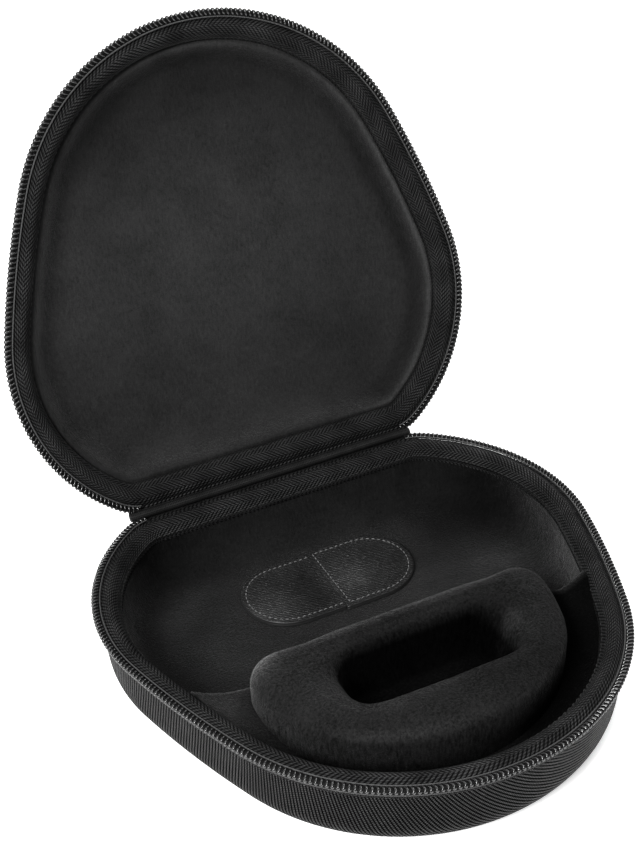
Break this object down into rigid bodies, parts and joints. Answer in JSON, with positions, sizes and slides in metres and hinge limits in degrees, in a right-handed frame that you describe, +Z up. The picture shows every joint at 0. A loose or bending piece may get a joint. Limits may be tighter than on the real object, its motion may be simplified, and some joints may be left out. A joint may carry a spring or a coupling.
{
  "type": "headphone carrying case",
  "caption": "Semi-rigid zipped clamshell case for over-ear headphones, with a padded island, a headband channel, an ear-cup recess and a magnetic leather clip.",
  "frame": {"origin": "on the underside of the base, on the centre line, at the case's widest part", "axes": "+X along the hinge, +Y towards the hinge, +Z up; the case rests on its base with the lid standing open"},
  "size_m": [0.2088, 0.2777, 0.2236],
  "materials": {
    "woven_cover": "ribbed woven nylon, black, low sheen",
    "moulded_board": "heat-moulded EVA board, matt charcoal",
    "padding_foam": "moulded foam, matt charcoal",
    "velour": "short-pile velour, black, soft nap",
    "zip_tape": "herringbone woven tape, black",
    "zip_coil": "nylon coil, black, glossy",
    "zip_cord": "twisted cord, black",
    "hinge_fabric": "close-woven nylon, black",
    "leather": "cross-grain leather, black, semi-matt, grey stitching",
    "magnet": "nickel-plated disc",
    "slider_metal": "black enamelled die-cast zinc",
    "pull_grip": "moulded black rubber"
  },
  "bodies": {
    "base": {"base_cover": "woven_cover", "base_shell": "moulded_board", "base_tray": "padding_foam", "island_pad": "padding_foam", "base_lining": "velour", "island_cover": "velour", "pocket_liner": "velour", "base_zip_tape": "zip_tape", "zip_tail_tape": "zip_tape", "base_zip_coil": "zip_coil", "zip_tail_coil": "zip_coil", "base_zip_cord": "zip_cord", "hinge_bead": "hinge_fabric", "hinge_flange_base": "hinge_fabric", "clip_anchor": "leather", "zip_bottom_stop": "slider_metal", "zip_end_tab": "hinge_fabric"},
    "lid": {"lid_cover": "woven_cover", "lid_shell": "moulded_board", "lid_pad": "padding_foam", "lid_lining": "velour", "lid_zip_tape": "zip_tape", "lid_zip_coil": "zip_coil", "lid_zip_cord": "zip_cord", "hinge_flange_lid": "hinge_fabric"},
    "clip_left": {"clip_left_back": "leather", "clip_left_face": "leather", "clip_left_magnet": "magnet"},
    "clip_right": {"clip_right_back": "leather", "clip_right_face": "leather", "clip_right_magnet": "magnet"},
    "slider": {"slider_body": "slider_metal"},
    "pull": {"pull_link": "slider_metal", "pull_tab": "pull_grip"}
  },
  "joints": [
    {"name": "lid_hinge", "type": "hinge", "parent": "base", "child": "lid", "pos_m": [0, 0.06531, 0.036], "axis": [1, 0, 0], "range_deg": [-7, 108]},
    {"name": "clip_left_fold", "type": "hinge", "parent": "base", "child": "clip_left", "pos_m": [-0.0005, 0.019, 0.0102], "axis": [0, 1, 0], "range_deg": [0, 80]},
    {"name": "clip_right_fold", "type": "hinge", "parent": "base", "child": "clip_right", "pos_m": [0.0005, 0.019, 0.0102], "axis": [0, -1, 0], "range_deg": [0, 80]},
    {"name": "slider_travel", "type": "slide", "parent": "base", "child": "slider", "axis": [1, 0, 0], "range_m": [0, 0.015]},
    {"name": "pull_swing", "type": "hinge", "parent": "slider", "child": "pull", "pos_m": [0.035, 0.0714, 0.026], "axis": [0, 0, -1], "range_deg": [0, 165]}
  ]
}
